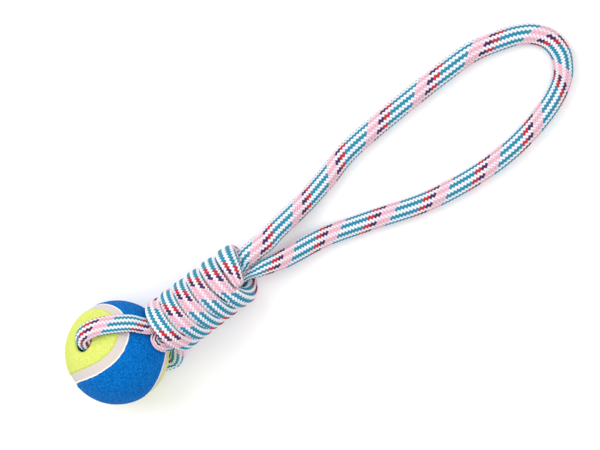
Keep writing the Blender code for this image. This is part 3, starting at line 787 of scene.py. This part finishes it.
def felt(name, colour, deep_colour):
    """Needled felt in one colour, with a deeper one between the tufts."""
    made = bpy.data.materials.new(name)
    made.use_nodes = True
    tree = made.node_tree
    shader = tree.nodes["Principled BSDF"]
    place = add_node(tree, "ShaderNodeTexCoord").outputs["Object"]
    mottle = add_node(
        tree,
        "ShaderNodeTexNoise",
        {"Vector": place, "Scale": FELT_TUFTS_A_METRE, "Detail": 4.0, "Roughness": 0.8},
    )
    depth = add_node(
        tree,
        "ShaderNodeMapRange",
        {"Value": mottle.outputs["Fac"], "From Min": DARK_TUFT, "From Max": PALE_TUFT},
    )
    colours = {0: depth.outputs[0], 6: linear(deep_colour), 7: linear(colour)}
    dyed = add_node(tree, "ShaderNodeMix", colours, data_type="RGBA")
    fibres = add_node(
        tree,
        "ShaderNodeTexNoise",
        {"Vector": place, "Scale": FELT_FIBRES_A_METRE, "Detail": 3.0, "Roughness": 0.7},
    )
    relief = add_node(
        tree,
        "ShaderNodeBump",
        {"Strength": 0.8, "Distance": FELT_FIBRE_RELIEF, "Height": fibres.outputs["Fac"]},
    )
    tree.links.new(dyed.outputs[2], shader.inputs["Base Color"])
    tree.links.new(relief.outputs["Normal"], shader.inputs["Normal"])
    shader.inputs["Roughness"].default_value = 0.95
    shader.inputs["Specular IOR Level"].default_value = 0.05
    shader.inputs["Sheen Weight"].default_value = 0.03
    shader.inputs["Sheen Roughness"].default_value = 0.4
    return made


yellow_felt = felt("yellow_needled_felt", "#DDE584", "#CFD95C")
blue_felt = felt("blue_needled_felt", "#0E7CCE", "#0057A6")
for name, node, side, look in (
    ("yellow_felt_panel", "ball_felt_yellow", yellow_side, yellow_felt),
    ("blue_felt_panel", "ball_felt_blue", -yellow_side, blue_felt),
):
    panel = felt_panel(name, side, look)
    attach(panel, "ball")
    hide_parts(node)


# Seam
# Cream rubber cement fills the line between the panels, a little below the felt. Along the blue
# panel it has a paler, raised rim, where it was pressed up against the felt's cut edge.

# Places across it count from its middle. The felt's edges are at -1 and 1, and the rim is by 1.
SEAM_PLACES = (-1.12, -1.0, -0.8, -0.5, -0.2, 0.2, 0.5, 0.66, 0.76, 0.84, 0.9, 0.96, 1.02, 1.12)
SEAM_RECESS = 0.0006
RIM_PLACE, RIM_HALF_WIDTH = 0.88, 0.11
RIM_RISE = 0.0003

# Its lumps, 1 mm long, are counted in a ball's radius.
CEMENT_LUMPS = 30
CEMENT_LUMP_SHARE = 0.5

across = np.array(SEAM_PLACES) * -yellow_side
half = np.where(across[None] > 0, edge_half[1][:, None], edge_half[-1][:, None])
angle = across[None] * half / BALL_RADIUS
rim = np.exp(-(((np.array(SEAM_PLACES) - RIM_PLACE) / RIM_HALF_WIDTH) ** 2))
lumps = np.array([noise.noise(Vector(place) * CEMENT_LUMPS) for place in seam_line.tolist()])
height = BALL_RADIUS - SEAM_RECESS + RIM_RISE * (rim[None] + CEMENT_LUMP_SHARE * lumps[:, None])
height[:, [0, -1]] -= SEAM_RECESS
strip = (
    seam_line[:, None] * np.cos(angle)[:, :, None] + seam_side[:, None] * np.sin(angle)[:, :, None]
) * height[:, :, None]
count = len(SEAM_PLACES)
faces = []
for i in range(SEAM_STEPS):
    here, beyond = i * count, (i + 1) % SEAM_STEPS * count
    faces += [(here + k, here + k + 1, beyond + k + 1, beyond + k) for k in range(count - 1)]
if yellow_side < 0:
    faces = [face[::-1] for face in faces]
seam_mesh = bpy.data.meshes.new("cream_seam")
seam_mesh.from_pydata((strip.reshape(-1, 3) + BALL_MIDDLE).tolist(), [], faces)
whiteness = seam_mesh.attributes.new("rim", "FLOAT", "POINT")
whiteness.data.foreach_set("value", np.tile(rim, SEAM_STEPS).astype(np.float32))
seam_mesh.shade_smooth()
seam = bpy.data.objects.new("cream_seam", seam_mesh)
scene.collection.objects.link(seam)

# Cured rubber cement: matt, cream, whiter along its rim, with a grain of 1.1 mm.
CEMENT_GRAINS_A_METRE = 900.0
CEMENT_GRAIN_RELIEF = 0.0003

cement = bpy.data.materials.new("cream_rubber_cement")
cement.use_nodes = True
tree = cement.node_tree
shader = tree.nodes["Principled BSDF"]
at_rim = add_node(tree, "ShaderNodeAttribute", attribute_name="rim")
mixed = add_node(
    tree,
    "ShaderNodeMix",
    {0: at_rim.outputs["Fac"], 6: linear("#CFC6BF"), 7: linear("#FFFFFF")},
    data_type="RGBA",
)
place = add_node(tree, "ShaderNodeTexCoord").outputs["Object"]
grain = add_node(
    tree,
    "ShaderNodeTexNoise",
    {"Vector": place, "Scale": CEMENT_GRAINS_A_METRE, "Detail": 3.0},
)
relief = add_node(
    tree,
    "ShaderNodeBump",
    {"Strength": 0.4, "Distance": CEMENT_GRAIN_RELIEF, "Height": grain.outputs["Fac"]},
)
tree.links.new(mixed.outputs[2], shader.inputs["Base Color"])
tree.links.new(relief.outputs["Normal"], shader.inputs["Normal"])
shader.inputs["Roughness"].default_value = 0.7
shader.inputs["Specular IOR Level"].default_value = 0.25
seam_mesh.materials.append(cement)
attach(seam, "ball")
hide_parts("ball_seam")


# Rubber core
# Two half shells, moulded in dark rubber and cemented together under the felt. They are the CAD
# solids themselves, because no more than their edges show, deep in the two holes.

# Moulded rubber: dark and even, with a dull gloss.
core_rubber = bpy.data.materials.new("dark_moulded_rubber")
core_rubber.use_nodes = True
shader = core_rubber.node_tree.nodes["Principled BSDF"]
shader.inputs["Base Color"].default_value = linear("#2A2A26")
shader.inputs["Roughness"].default_value = 0.6
for name in ("ball_core_front", "ball_core_back"):
    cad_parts[name].data.materials.clear()
    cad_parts[name].data.materials.append(core_rubber)
